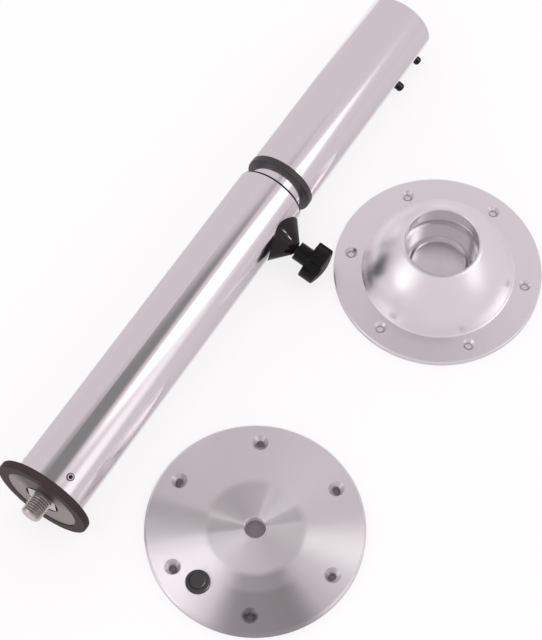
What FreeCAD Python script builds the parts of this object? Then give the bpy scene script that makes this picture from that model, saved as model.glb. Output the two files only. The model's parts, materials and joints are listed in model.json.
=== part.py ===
import FreeCAD, Part

import math
import os
import re

import Sketcher
from FreeCAD import Placement, Rotation, Vector

# Telescopic table pedestal, taken apart as it is delivered.
# The column lies on the floor on the edge of its foot ring and on its top end.
# The floor plate and the table socket lie flat beside it.
# Millimetres and degrees. +Z is up, and the column runs along +X from its stud to its top end.
# The origin is at the middle of the whole set's bottom.
#
# Every column piece has the column's frame: x along the axis from the foot ring's bottom face.
# A radial piece, such as the knob, has z along its own radius from the column's axis.

SIZES = [
    ("slip", "0.02", "radial gap of pieces that are fitted together"),
    ("running_gap", "0.1", "radial gap of the bushes that slide or turn"),
    ("free_gap", "0.3", "gap round pieces that move freely"),
    ("thread_gap", "0.03", "radial gap between a thread and its nut"),

    ("tube_d", "57", "outside diameter of the lower and the upper tube"),
    ("tube_wall", "3", "wall of the lower and the upper tube"),
    ("tube_round", "0.8", "round on the lower tube's upper edge"),
    ("lower_end", "307.6", "upper end of the lower tube"),

    ("ring_width", "10.3", "foot ring, how far it stands out round the tube"),
    ("ring_t", "6", "foot ring, thickness"),
    ("ring_round", "1.2", "foot ring, round on its outer edges"),
    ("foot_recess", "0.5", "how far the foot plug's face lies inside the ring"),
    ("foot_flange_lip", "1.3", "foot plug, how far its flange stands out round the tube"),
    ("foot_flange_t", "2.5", "foot plug, flange thickness"),
    ("foot_spigot_len", "23", "foot plug, length inside the tube"),
    ("stud_d", "16", "threaded stud, diameter below the shoulder"),
    ("shank_d", "14", "threaded stud, diameter inside the column"),
    ("stud_out", "15", "threaded stud, length beyond the foot ring"),
    ("stud_in", "22", "threaded stud, length inside the column"),
    ("stud_chamfer", "1.5", "threaded stud, chamfer on both ends"),
    ("locknut_flats", "24", "locknut, width across flats"),
    ("locknut_t", "4", "locknut, thickness"),
    ("grub_d", "6", "set screw, diameter"),
    ("grub_len", "11", "set screw, length"),
    ("grub_out", "0.6", "how far a set screw stands out of the tube"),
    ("grub_key", "3", "set screw, width of the hexagon socket"),
    ("grub_key_depth", "3", "set screw, depth of the hexagon socket"),
    ("grub_place", "19", "set screws, distance from the foot ring's face"),
    ("grub_angle", "31", "first set screw, angle from the top towards -Y"),
    ("grub_count", "3", "number of set screws"),

    ("guide_len", "14", "top guide bush, length inside the tube"),
    ("guide_lip_t", "1.5", "top guide bush, thickness of its lip on the tube's end"),
    ("guide_lip_back", "1", "how far the guide bush's lip lies inside the tube's outline"),

    ("clamp_place", "283", "clamp knob, distance from the foot ring's face"),
    ("clamp_angle", "103", "clamp knob, angle from the top towards -Y"),
    ("boss_d", "40.6", "clamp boss, diameter of its foot on the tube"),
    ("boss_len", "64", "clamp boss, length of its section at the widest line of the foot"),
    ("boss_tip_d", "10.4", "clamp boss, diameter of its tip"),
    ("boss_rise", "13", "clamp boss, height of its tip above the tube"),
    ("bush_head_d", "18", "threaded bush, head diameter"),
    ("bush_head_t", "1.1", "threaded bush, head thickness"),
    ("bush_shank_d", "12.4", "threaded bush, shank diameter"),
    ("bush_rise", "7.5", "threaded bush, height of its outer end above the tube"),
    ("pad_d", "9", "clamp pad, diameter"),
    ("pad_t", "4", "clamp pad, thickness"),
    ("pad_gap", "0.05", "gap between the clamp pad and the inner tube, clamp just open"),
    ("pad_travel", "2.5", "how far the pad can draw back from the inner tube"),
    ("pad_play", "0.2", "radial gap between the pad and its bore"),
    ("screw_d", "8", "clamp screw, diameter"),
    ("screw_len", "33", "clamp screw, length"),
    ("screw_chamfer", "0.6", "clamp screw, chamfer on its tip"),
    ("neck_d", "15.3", "knob, neck diameter"),
    ("neck_rise", "14.1", "knob, height of the neck's foot above the tube"),
    ("neck_len", "11.2", "knob, neck length"),
    ("head_d", "31.3", "knob, diameter over the lobes"),
    ("head_len", "12.3", "knob, length of the lobes"),
    ("head_rise", "3.5", "knob, rise of the domed front"),
    ("head_round", "1.2", "knob, round on its edges"),
    ("flute_d", "13", "knob, diameter of the hollows between the lobes"),
    ("flute_place", "19", "knob, distance of the hollows' middle from the axis"),
    ("lobe_count", "4", "knob, number of lobes"),

    ("stage_room", "2.5", "radial room between the inner tube and the tubes round it"),
    ("inner_wall", "2.5", "inner tube, wall"),
    ("inner_start", "70", "inner tube, lower end"),
    ("inner_end", "415", "inner tube, upper end"),
    ("clip_place", "2.4", "distance of the first circlip from the inner tube's end"),
    ("clip_t", "1.5", "circlip, thickness"),
    ("clip_depth", "0.95", "circlip, depth in its groove"),
    ("clip_rim", "1.2", "circlip, height outside the inner tube"),
    ("clip_opening", "40", "circlip, angle of the opening"),
    ("glider_len", "12", "lower glider, length"),
    ("glider_play", "0.1", "end play of the glider between the circlips"),

    ("stage_gap", "11.9", "inner tube in sight between the lower tube and the collar"),
    ("collar_t", "5.5", "stage collar, flange thickness"),
    ("collar_round", "1.2", "stage collar, round on its lower edge"),
    ("collar_spigot_len", "14", "stage collar, length inside the upper tube"),
    ("sleeve_len", "27", "spacer sleeve, length"),
    ("sleeve_back", "3", "distance of the spacer sleeve from the inner tube's upper end"),
    ("upper_len", "181", "upper tube, length"),
    ("end_flange_t", "2.6", "end plug, flange thickness"),
    ("end_round", "1", "end plug, round on its outer edge"),
    ("end_spigot_len", "7", "end plug, length inside the tube"),
    ("end_spigot_wall", "3.5", "end plug, wall of the part inside the tube"),

    ("latch_angle", "117", "latch pins, angle from the top towards -Y"),
    ("lock_back", "15.6", "lock stud, distance from the column's top end"),
    ("lock_d", "7", "lock stud, diameter"),
    ("lock_out", "4.6", "lock stud, height outside the tube"),
    ("lock_round", "2.5", "lock stud, round on its end"),
    ("button_back", "45.6", "release button, distance from the column's top end"),
    ("button_d", "7.4", "release button, diameter"),
    ("button_out", "6.3", "release button, height outside the tube"),
    ("button_round", "2.6", "release button, round on its end"),
    ("pin_head_d", "9", "heads of the latch pins, diameter"),
    ("pin_head_t", "1", "heads of the latch pins, thickness"),
    ("leaf_t", "0.8", "latch spring, thickness of the strip"),
    ("leaf_w", "9", "latch spring, width of the strip"),
    ("leaf_depth", "1.6", "latch spring, depth of the strip's outer face below the wall"),
    ("leaf_tip_back", "10.4", "latch spring, distance of its tip from the column's top end"),
    ("leaf_flat_len", "44", "latch spring, length of the flat that carries the pins"),
    ("leaf_bend_len", "24", "latch spring, length from the flat to the bend"),
    ("leaf_bend_half", "4", "latch spring, half the opening at the bend"),
    ("leaf_bend_round", "6", "latch spring, radius of the bend"),
    ("leaf_foot_len", "13", "latch spring, length of the foot on the far wall"),
    ("leaf_foot_depth", "0.9", "latch spring, distance of the foot's middle from the wall"),

    ("disc_d", "165", "floor plate and table socket, diameter"),
    ("plate_along", "76.3", "floor plate, distance along the column from the foot ring"),
    ("plate_room", "14.4", "floor plate, distance of its edge from the foot ring's"),
    ("plate_turn", "29.6", "floor plate, angle of its first screw hole"),
    ("plate_t", "7", "floor plate, thickness"),
    ("plate_bevel", "1.6", "floor plate, bevel on its upper edge"),
    ("plate_lead", "1.2", "floor plate, chamfer on the threaded hole"),
    ("plate_margin", "14.5", "floor plate, distance of the screw holes from its edge"),
    ("plate_hole_d", "5.8", "floor plate, screw hole diameter"),
    ("plate_sink_d", "12.4", "floor plate, countersink diameter"),
    ("screw_count", "6", "number of screw holes in each disc"),
    ("overcut", "1", "how far the holes' cutters reach past the faces"),
    ("plug_margin", "22.8", "hole plug, distance from the plate's edge"),
    ("plug_angle", "138.7", "hole plug, angle from the plate's first screw hole"),
    ("plug_stem_d", "8", "hole plug, stem diameter"),
    ("plug_stem_back", "0.5", "how far the plug's stem ends above the plate's underside"),
    ("plug_head_d", "18.5", "hole plug, head diameter"),
    ("plug_head_t", "2.4", "hole plug, head thickness"),
    ("plug_cap_d", "12", "hole plug, diameter of the raised middle"),
    ("plug_cap_t", "1.8", "hole plug, height of the raised middle"),
    ("plug_round", "1", "hole plug, round on its edges"),

    ("socket_along", "337.6", "table socket, distance along the column from the foot ring"),
    ("socket_room", "28.1", "table socket, distance of its edge from the tubes"),
    ("socket_turn", "-9.4", "table socket, angle of its first screw hole"),
    ("socket_flange_t", "5", "table socket, flange thickness"),
    ("socket_edge", "0.6", "table socket, bevel on the flange's upper edge"),
    ("socket_height", "49", "table socket, height of its rim"),
    ("flange_width", "22.5", "table socket, width of the flange round the dome"),
    ("dome_round", "75", "table socket, radius of the dome's curve"),
    ("dome_fillet", "1.5", "table socket, round in the corner at the dome's foot"),
    ("rim_land", "2.2", "table socket, width of the rim"),
    ("rim_round", "5", "table socket, round from the dome to the rim"),
    ("rim_lead", "0.4", "table socket, chamfer on the bore's mouth"),
    ("socket_fit", "0.2", "radial gap between the upper tube and the socket's bore"),
    ("groove_low", "26.5", "snap groove, height of its lower edge"),
    ("groove_high", "36.2", "snap groove, height of its upper edge"),
    ("groove_depth", "3.2", "snap groove, depth"),
    ("groove_slope", "1", "snap groove, length of its sloping edges"),
    ("ledge_height", "15.5", "ledge that the upper tube stands on, height"),
    ("ledge_width", "7.4", "ledge, width"),
    ("ledge_lead", "1.8", "ledge, chamfer on its inner edge"),
    ("floor_height", "12.2", "floor of the socket, height"),
    ("socket_margin", "12.5", "table socket, distance of the screw holes from its edge"),
    ("socket_hole_d", "5.5", "table socket, screw hole diameter"),
    ("socket_sink_d", "10", "table socket, countersink diameter"),
]

# Lengths and places that follow from the sizes.
LAYOUT = [
    ("tube_r", "tube_d/2"),
    ("bore_r", "tube_d/2 - tube_wall"),
    ("inner_r", "bore_r - stage_room"),
    ("ring_r", "tube_r + ring_width"),
    ("foot_flange_r", "tube_r + foot_flange_lip"),
    ("foot_face", "foot_recess"),
    ("foot_seat", "foot_recess + foot_flange_t"),
    ("clip_floor", "inner_r - clip_depth"),
    ("first_clip", "inner_start + clip_place"),
    ("glider_start", "first_clip + clip_t + glider_play"),
    ("second_clip", "glider_start + glider_len + glider_play"),
    ("guide_start", "lower_end - guide_len"),
    ("guide_end", "lower_end + guide_lip_t"),
    ("collar_start", "lower_end + stage_gap"),
    ("upper_start", "collar_start + collar_t"),
    ("upper_end", "upper_start + upper_len"),
    ("column_end", "upper_end + end_flange_t"),
    ("pad_top", "inner_r + pad_gap + pad_t"),
    ("boss_tip", "tube_r + boss_rise"),
    ("bush_tip", "tube_r + bush_rise"),
    ("neck_start", "tube_r + neck_rise"),
    ("leaf_seat", "bore_r - leaf_depth"),
    ("leaf_foot", "bore_r - leaf_foot_depth"),
    ("ring_rise", "ring_t - ring_round"),
    ("ring_reach", "ring_r - ring_round"),
    ("end_rise", "column_end - end_round"),
    ("end_reach", "tube_r - end_round"),
    ("rest_span", "hypot(end_rise - ring_rise; ring_reach - end_reach)"),
    ("tilt", "(atan((ring_reach - end_reach)/(end_rise - ring_rise))"
             " + asin((ring_round - end_round)/rest_span))/1deg"),
    ("axis_height", "ring_round + ring_rise*sin(tilt) + ring_reach*cos(tilt)"),
    ("left_end", "-stud_out*cos(tilt) - (stud_d/2 - stud_chamfer)*sin(tilt)"),
    ("right_end", "end_rise*cos(tilt) + end_reach*sin(tilt) + end_round"),
    ("disc_r", "disc_d/2"),
    ("plate_circle_r", "disc_r - plate_margin"),
    ("plug_place", "disc_r - plug_margin"),
    ("plate_out", "disc_r + ring_r + plate_room"),
    ("socket_circle_r", "disc_r - socket_margin"),
    ("dome_foot_r", "disc_r - flange_width"),
    ("socket_out", "disc_r + tube_r + socket_room"),
    ("near_side", "-max(socket_out; plate_out) - disc_r"),
    ("column_x", "-(left_end + right_end)/2"),
    ("column_y", "-(near_side + ring_r)/2"),
]

WORD = re.compile(r"[a-z][a-z_]*")

doc = FreeCAD.newDocument("pedestal")
sheet = doc.addObject("Spreadsheet::Sheet", "Sizes")
layout = doc.addObject("App::VarSet", "Layout")
owner = {}
sub_parts = []


def bound(text):
    """Expression in which each named value says where it is kept."""
    return WORD.sub(lambda word: owner.get(word.group(), "") + word.group(), text)


def bind(thing, path, text):
    thing.setExpression(path, bound(text))


def value(text):
    """Number that an expression has now."""
    found = layout.evalExpression(bound(text))
    return float(getattr(found, "Value", found))


def write_sizes():
    for row, (alias, number, note) in enumerate(SIZES, start=1):
        sheet.set("A%d" % row, note)
        sheet.set("B%d" % row, number)
        sheet.setAlias("B%d" % row, alias)
        owner[alias] = "Sizes."
    doc.recompute()
    for name, text in LAYOUT:
        layout.addProperty("App::PropertyFloat", name)
        bind(layout, name, text)
        owner[name] = "Layout."
    doc.recompute()


def keep(thing):
    """Marks a finished sub-part. Its label names its file."""
    thing.Label = thing.Name
    sub_parts.append(thing)
    return thing


def placed(x, y, z, yaw="0", pitch="0", roll="0"):
    return ("create(<<placement>>; create(<<vector>>; %s; %s; %s);"
            " create(<<rotation>>; %s; %s; %s))" % (x, y, z, yaw, pitch, roll))


def on_column(along="0", pitch="tilt", roll="0"):
    """Place on the column's axis, with x along the axis unless the pitch says otherwise."""
    return placed("column_x + (%s)*cos(tilt)" % along, "column_y",
                  "axis_height - (%s)*sin(tilt)" % along, pitch=pitch, roll=roll)


# Local z runs along the column's axis.
UPRIGHT = "tilt + 90"


def body(name, place):
    made = doc.addObject("PartDesign::Body", name)
    bind(made, "Placement", place)
    return made


def sketch(owner_body, name, role):
    """Empty sketch on one of the body's own planes."""
    plane = [f for f in owner_body.Origin.OriginFeatures if f.Role == role][0]
    made = owner_body.newObject("Sketcher::SketchObject", name)
    made.AttachmentSupport = [(plane, "")]
    made.MapMode = "FlatFace"
    return made


def arc_through(start, end, radius):
    """Arc from start to end. A positive radius bulges to the left of the way, a negative one
    to the right. Gives the arc and the numbers of its start and end points."""
    middle = (start + end) * 0.5
    half = (end - start) * 0.5
    left = Vector(-half.y, half.x, 0).normalize()
    rise = math.sqrt(radius * radius - half.Length ** 2)
    side = 1 if radius > 0 else -1
    centre = middle - left * (rise * side)
    circle = Part.Circle(centre, Vector(0, 0, 1), abs(radius))
    angles = [math.atan2((p - centre).y, (p - centre).x) for p in (start, end)]
    if side > 0:
        return Part.ArcOfCircle(circle, angles[1], angles[0]), 2, 1
    return Part.ArcOfCircle(circle, angles[0], angles[1]), 1, 2


def trace(target, points, closed=True):
    """Draws lines and arcs through points, each (across, up) or (across, up, radius of the
    arc to the next point), and binds every point and radius to its expression."""
    places = [Vector(value(p[0]), value(p[1]), 0) for p in points]
    count = len(points) if closed else len(points) - 1
    pieces = []
    for i in range(count):
        start, end = places[i], places[(i + 1) % len(points)]
        if len(points[i]) == 3:
            shape, first, last = arc_through(start, end, value(points[i][2]))
        else:
            shape, first, last = Part.LineSegment(start, end), 1, 2
        pieces.append((target.addGeometry(shape, False), first, last))
    links = range(count) if closed else range(count - 1)
    for i in links:
        this, following = pieces[i], pieces[(i + 1) % count]
        target.addConstraint(Sketcher.Constraint("Coincident", this[0], this[2],
                                                 following[0], following[1]))
    for i, point in enumerate(points):
        if i < count:
            geometry, corner = pieces[i][0], pieces[i][1]
        else:
            geometry, corner = pieces[-1][0], pieces[-1][2]
        for kind, text, number in (("DistanceX", point[0], places[i].x),
                                   ("DistanceY", point[1], places[i].y)):
            at = target.addConstraint(Sketcher.Constraint(kind, -1, 1, geometry, corner, number))
            bind(target, "Constraints[%d]" % at, text)
        if len(point) == 3:
            radius = Sketcher.Constraint("Radius", geometry, abs(value(point[2])))
            at = target.addConstraint(radius)
            bind(target, "Constraints[%d]" % at, "abs(%s)" % point[2])
    return target


def ring_circle(target, across, radius):
    """Circle on the sketch's horizontal axis."""
    circle = Part.Circle(Vector(value(across), 0, 0), Vector(0, 0, 1), value(radius))
    geometry = target.addGeometry(circle, False)
    target.addConstraint(Sketcher.Constraint("PointOnObject", geometry, 3, -1))
    at = target.addConstraint(Sketcher.Constraint("DistanceX", -1, 1, geometry, 3, value(across)))
    bind(target, "Constraints[%d]" % at, across)
    at = target.addConstraint(Sketcher.Constraint("Radius", geometry, value(radius)))
    bind(target, "Constraints[%d]" % at, radius)


def turned(owner_body, name, points, axis="H_Axis", kind="Revolution"):
    """Solid of revolution about the sketch's own horizontal or vertical axis."""
    profile = trace(sketch(owner_body, name + "_profile", "XZ_Plane"), points)
    feature = owner_body.newObject("PartDesign::" + kind, name)
    feature.Profile = profile
    feature.ReferenceAxis = (profile, [axis])
    doc.recompute()
    return feature


def edge_names(feature, place, radius, axis):
    """Names of the feature's circular edges at this place along the axis and of this radius."""
    found = []
    for number, edge in enumerate(feature.Shape.Edges, start=1):
        if edge.Degenerated or not isinstance(edge.Curve, Part.Circle):
            continue
        offset = getattr(edge.Curve.Center, axis) - value(place)
        if abs(offset) < 1e-4 and abs(edge.Curve.Radius - value(radius)) < 1e-4:
            found.append("Edge%d" % number)
    if not found:
        raise RuntimeError("%s has no edge at %s" % (feature.Name, place))
    return found


def eased(owner_body, name, size, edges, axis="x", kind="Fillet"):
    """Round or chamfer on circular edges, each given as (place along the axis, radius)."""
    base = owner_body.Tip
    feature = owner_body.newObject("PartDesign::" + kind, name)
    names = [n for place, radius in edges for n in edge_names(base, place, radius, axis)]
    feature.Base = (base, names)
    bind(feature, "Radius" if kind == "Fillet" else "Size", size)
    doc.recompute()
    return feature


def radial_hole(owner_body, name, along, angle, radius, start="0"):
    """Round hole from the height start above the axis outwards, at an angle from the top."""
    circle = sketch(owner_body, name + "_circle", "XY_Plane")
    circle.AttachmentOffset = Placement(Vector(), Rotation(Vector(1, 0, 0), 1))
    bind(circle, "AttachmentOffset.Rotation.Angle", angle)
    bind(circle, "AttachmentOffset.Base.y", "-(%s)*sin(%s)" % (start, angle))
    bind(circle, "AttachmentOffset.Base.z", "(%s)*cos(%s)" % (start, angle))
    ring_circle(circle, along, radius)
    hole = owner_body.newObject("PartDesign::Pocket", name)
    hole.Profile = circle
    hole.Type = "ThroughAll"
    hole.Reversed = True
    doc.recompute()
    return hole


def polar(owner_body, name, feature, count, role):
    """Repeats a feature round one of the body's own axes."""
    axis = [f for f in owner_body.Origin.OriginFeatures if f.Role == role][0]
    pattern = owner_body.newObject("PartDesign::PolarPattern", name)
    pattern.Originals = [feature]
    pattern.Axis = (axis, [""])
    pattern.Angle = 360
    bind(pattern, "Occurrences", count)
    owner_body.Tip = pattern
    doc.recompute()
    return pattern


def removed(owner_body, before):
    """Stops the build if the last cut took nothing away."""
    if owner_body.Shape.Volume > before - 1e-3:
        raise RuntimeError("%s lost nothing to its last cut" % owner_body.Name)


def countersunk_holes(owner_body, middle, top, hole_d, sink_d):
    """Countersunk screw holes, evenly spaced on a circle, cut by a groove and a pattern."""
    before = owner_body.Shape.Volume
    sink = "(%s - %s)/2" % (sink_d, hole_d)
    profile = sketch(owner_body, "screw_hole_profile", "XZ_Plane")
    trace(profile, [(middle, "-overcut"), (middle + " + %s/2" % hole_d, "-overcut"),
                    (middle + " + %s/2" % hole_d, top + " - " + sink),
                    (middle + " + %s/2" % sink_d, top),
                    (middle + " + %s/2" % sink_d, top + " + overcut"),
                    (middle, top + " + overcut")])
    groove = owner_body.newObject("PartDesign::Groove", "screw_hole")
    groove.Profile = profile
    groove.ReferenceAxis = (profile, ["Edge6"])
    doc.recompute()
    polar(owner_body, "screw_holes", groove, "screw_count", "Z_Axis")
    removed(owner_body, before)


def cylinder(name, radius, height, start="0", turn="360"):
    """Plain cylinder along z."""
    made = doc.addObject("Part::Cylinder", name)
    bind(made, "Radius", radius)
    bind(made, "Height", height)
    bind(made, "Placement.Base.z", start)
    bind(made, "Angle", turn)
    return made


def cross_cylinder(name, radius, half):
    """Plain cylinder along x, centred on the origin."""
    made = doc.addObject("Part::Cylinder", name)
    bind(made, "Radius", radius)
    bind(made, "Height", "2*(%s)" % half)
    bind(made, "Placement", placed("-(%s)" % half, "0", "0", pitch="90"))
    return made


def joined(kind, name, *pieces):
    """Cut, Fuse or Common of two pieces, or of more in turn."""
    whole = pieces[0]
    for number, piece in enumerate(pieces[1:], start=1):
        last = number == len(pieces) - 1
        step = doc.addObject("Part::" + kind, name if last else "%s_%d" % (name, number))
        step.Base, step.Tool = whole, piece
        whole = step
    doc.recompute()
    return whole


def hexagon(name, flats, height, start="0"):
    made = doc.addObject("Part::Prism", name)
    made.Polygon = 6
    bind(made, "Circumradius", "(%s)/sqrt(3)" % flats)
    bind(made, "Height", height)
    bind(made, "Placement.Base.z", start)
    return made


def floor_plate():
    """Round aluminium plate that is screwed to the floor. The stud screws into its middle."""
    made = body("floor_plate", placed("column_x + plate_along", "column_y - plate_out", "0",
                                      yaw="plate_turn"))
    thread = "stud_d/2 + thread_gap"
    turned(made, "plate", [
        (thread, "0"), ("disc_r", "0"), ("disc_r", "plate_t - plate_bevel"),
        ("disc_r - plate_bevel", "plate_t"), (thread + " + plate_lead", "plate_t"),
        (thread, "plate_t - plate_lead")], axis="V_Axis")
    countersunk_holes(made, "plate_circle_r", "plate_t", "plate_hole_d", "plate_sink_d")
    hole = sketch(made, "plug_hole_circle", "XY_Plane")
    hole.AttachmentOffset = Placement(Vector(), Rotation(Vector(0, 0, 1), 1))
    bind(hole, "AttachmentOffset.Rotation.Angle", "plug_angle")
    ring_circle(hole, "plug_place", "plug_stem_d/2 + slip")
    before = made.Shape.Volume
    drilled = made.newObject("PartDesign::Pocket", "plug_hole")
    drilled.Profile = hole
    drilled.Type = "ThroughAll"
    drilled.Reversed = True
    doc.recompute()
    removed(made, before)
    keep(made)


def hole_plug():
    """Black rubber plug that sits in a hole of its own in the floor plate."""
    made = body("hole_plug", placed(
        "column_x + plate_along + plug_place*cos(plate_turn + plug_angle)",
        "column_y - plate_out + plug_place*sin(plate_turn + plug_angle)", "0"))
    head_top = "plate_t + plug_head_t"
    cap_top = head_top + " + plug_cap_t"
    turned(made, "plug", [
        ("0", "plug_stem_back"), ("plug_stem_d/2", "plug_stem_back"),
        ("plug_stem_d/2", "plate_t"), ("plug_head_d/2", "plate_t"),
        ("plug_head_d/2", head_top), ("plug_cap_d/2", head_top),
        ("plug_cap_d/2", cap_top), ("0", cap_top)], axis="V_Axis")
    eased(made, "plug_edges", "plug_round",
          [(head_top, "plug_head_d/2"), (cap_top, "plug_cap_d/2")], axis="z")
    keep(made)


def table_socket():
    """Domed aluminium socket that is screwed under the table top. The upper tube plugs into it:
    its end stands on the ledge, and the lock stud snaps into the groove."""
    made = body("table_socket", placed("column_x + socket_along", "column_y - socket_out", "0",
                                       yaw="socket_turn"))
    entry = "tube_r + socket_fit"
    groove = entry + " + groove_depth"
    ledge = entry + " - ledge_width"
    turned(made, "dome", [
        ("0", "0"), ("disc_r", "0"), ("disc_r", "socket_flange_t - socket_edge"),
        ("disc_r - socket_edge", "socket_flange_t"),
        ("dome_foot_r", "socket_flange_t", "-dome_round"),
        (entry + " + rim_land", "socket_height"), (entry + " + rim_lead", "socket_height"),
        (entry, "socket_height - rim_lead"),
        (entry, "groove_high"), (groove, "groove_high - groove_slope"),
        (groove, "groove_low + groove_slope"), (entry, "groove_low"),
        (entry, "ledge_height"), (ledge + " + ledge_lead", "ledge_height"),
        (ledge, "ledge_height - ledge_lead"), (ledge, "floor_height"), ("0", "floor_height")],
        axis="V_Axis")
    eased(made, "dome_corner", "dome_fillet", [("socket_flange_t", "dome_foot_r")], axis="z")
    eased(made, "rim_edge", "rim_round", [("socket_height", entry + " + rim_land")], axis="z")
    countersunk_holes(made, "socket_circle_r", "socket_flange_t", "socket_hole_d", "socket_sink_d")
    keep(made)


def foot_ring():
    """Black rubber ring round the foot. It holds the foot plug's flange in its counterbore."""
    made = body("foot_ring", on_column())
    turned(made, "ring", [
        ("0", "foot_flange_r + slip"), ("0", "ring_r"), ("ring_t", "ring_r"),
        ("ring_t", "tube_r + slip"), ("foot_seat", "tube_r + slip"),
        ("foot_seat", "foot_flange_r + slip")])
    eased(made, "ring_edges", "ring_round", [("0", "ring_r"), ("ring_t", "ring_r")])
    keep(made)


def lower_tube():
    """Outer tube, from the foot plug's flange to the guide bush."""
    made = body("lower_tube", on_column())
    turned(made, "tube", [("foot_seat", "bore_r"), ("lower_end", "bore_r"),
                          ("lower_end", "tube_r"), ("foot_seat", "tube_r")])
    eased(made, "tube_edge", "tube_round", [("lower_end", "tube_r")])
    before = made.Shape.Volume
    first = radial_hole(made, "set_screw_hole", "grub_place", "grub_angle", "grub_d/2 + slip")
    polar(made, "set_screw_holes", first, "grub_count", "X_Axis")
    removed(made, before)
    before = made.Shape.Volume
    radial_hole(made, "clamp_hole", "clamp_place", "clamp_angle", "bush_shank_d/2 + slip")
    removed(made, before)
    keep(made)


def foot_plug():
    """Turned aluminium plug in the tube's foot, with the stud's thread through it."""
    made = body("foot_plug", on_column())
    recess = "locknut_flats/sqrt(3) + free_gap"
    turned(made, "plug", [
        ("foot_face", "foot_flange_r"), ("foot_seat", "foot_flange_r"),
        ("foot_seat", "bore_r - slip"), ("foot_seat + foot_spigot_len", "bore_r - slip"),
        ("foot_seat + foot_spigot_len", "shank_d/2 + thread_gap"),
        ("foot_face + locknut_t", "shank_d/2 + thread_gap"),
        ("foot_face + locknut_t", recess), ("foot_face", recess)])
    before = made.Shape.Volume
    first = radial_hole(made, "set_screw_hole", "grub_place", "grub_angle", "grub_d/2 + slip",
                        "tube_r + grub_out - grub_len")
    polar(made, "set_screw_holes", first, "grub_count", "X_Axis")
    removed(made, before)
    keep(made)


def threaded_stud():
    """Steel stud that screws into the floor plate up to its shoulder."""
    made = body("threaded_stud", on_column())
    turned(made, "stud", [
        ("-stud_out", "0"), ("-stud_out", "stud_d/2 - stud_chamfer"),
        ("stud_chamfer - stud_out", "stud_d/2"), ("0", "stud_d/2"), ("0", "shank_d/2"),
        ("stud_in - stud_chamfer", "shank_d/2"), ("stud_in", "shank_d/2 - stud_chamfer"),
        ("stud_in", "0")])
    keep(made)


def stud_locknut():
    """Thin hexagon nut on the stud, let into the foot plug's face."""
    blank = hexagon("locknut_blank", "locknut_flats", "locknut_t")
    thread = cylinder("locknut_thread", "shank_d/2 + thread_gap", "locknut_t")
    nut = joined("Cut", "stud_locknut", blank, thread)
    bind(nut, "Placement", on_column("foot_face", UPRIGHT))
    keep(nut)


def foot_set_screws():
    """Headless socket screws that hold the foot plug in the tube."""
    screws = []
    for number in range(int(value("grub_count"))):
        start = "tube_r + grub_out - grub_len"
        shank = cylinder("set_screw_%d_shank" % number, "grub_d/2", "grub_len", start)
        key = hexagon("set_screw_%d_key" % number, "grub_key", "grub_key_depth",
                      "tube_r + grub_out - grub_key_depth")
        screw = joined("Cut", "set_screw_%d" % number, shank, key)
        bind(screw, "Placement", on_column("grub_place", roll="grub_angle + %d*360/grub_count"
                                           % number))
        screws.append(screw)
    group = doc.addObject("Part::Compound", "foot_set_screws")
    group.Links = screws
    doc.recompute()
    keep(group)


def top_guide_bush():
    """Plastic bush in the lower tube's mouth, in which the inner tube slides. Its lip covers
    the tube's end."""
    made = body("top_guide_bush", on_column())
    turned(made, "bush", [
        ("guide_start", "inner_r + running_gap"), ("guide_end", "inner_r + running_gap"),
        ("guide_end", "tube_r - guide_lip_back"), ("lower_end", "tube_r - guide_lip_back"),
        ("lower_end", "bore_r - slip"), ("guide_start", "bore_r - slip")])
    keep(made)


def clamp_boss():
    """Moulded saddle on the tube that tapers to the clamp screw."""
    foot_height = "sqrt(tube_r*tube_r - boss_d*boss_d/4)"
    foot = doc.addObject("Part::Ellipse", "boss_foot")
    bind(foot, "MajorRadius", "boss_len/2")
    bind(foot, "MinorRadius", "boss_d/2")
    bind(foot, "Placement.Base.z", foot_height)
    tip = doc.addObject("Part::Circle", "boss_tip_circle")
    bind(tip, "Radius", "boss_tip_d/2")
    bind(tip, "Placement.Base.z", "boss_tip")
    taper = doc.addObject("Part::Loft", "boss_taper")
    taper.Sections = [foot, tip]
    taper.Solid = True
    taper.Ruled = True
    limit = cylinder("boss_limit", "boss_d/2", "boss_tip")
    blank = joined("Common", "boss_blank", taper, limit)
    tube = cross_cylinder("boss_tube", "tube_r + slip", "boss_len")
    bush = cylinder("boss_bush_bore", "bush_shank_d/2 + slip", "bush_tip + slip")
    passage = cylinder("boss_screw_bore", "screw_d/2 + free_gap", "boss_tip + boss_d")
    boss = joined("Cut", "clamp_boss", blank, tube, bush, passage)
    bind(boss, "Placement", on_column("clamp_place", roll="clamp_angle"))
    keep(boss)


def threaded_bush():
    """Steel bush put in from inside the tube. It carries the clamp screw's thread, and its
    counterbore guides the pad."""
    head_r = "bore_r - slip"
    inside = head_r + " - bush_head_t"
    disc = cylinder("bush_head_disc", "bush_head_d/2", "tube_r")
    curve = joined("Cut", "bush_head_curve",
                   cross_cylinder("bush_head_outside", head_r, "bush_head_d"),
                   cross_cylinder("bush_head_inside", inside, "bush_head_d + free_gap"))
    head = joined("Common", "bush_head", disc, curve)
    shank_start = inside + " + free_gap"
    shank = cylinder("bush_shank", "bush_shank_d/2", "bush_tip - (%s)" % shank_start, shank_start)
    blank = joined("Fuse", "bush_blank", head, shank)
    thread = cylinder("bush_thread", "screw_d/2 + thread_gap", "bush_tip + tube_d")
    guide = cylinder("bush_pad_guide", "pad_d/2 + pad_play", "pad_top + pad_travel + free_gap")
    bush = joined("Cut", "threaded_bush", blank, thread, guide)
    bind(bush, "Placement", on_column("clamp_place", roll="clamp_angle"))
    keep(bush)


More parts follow.
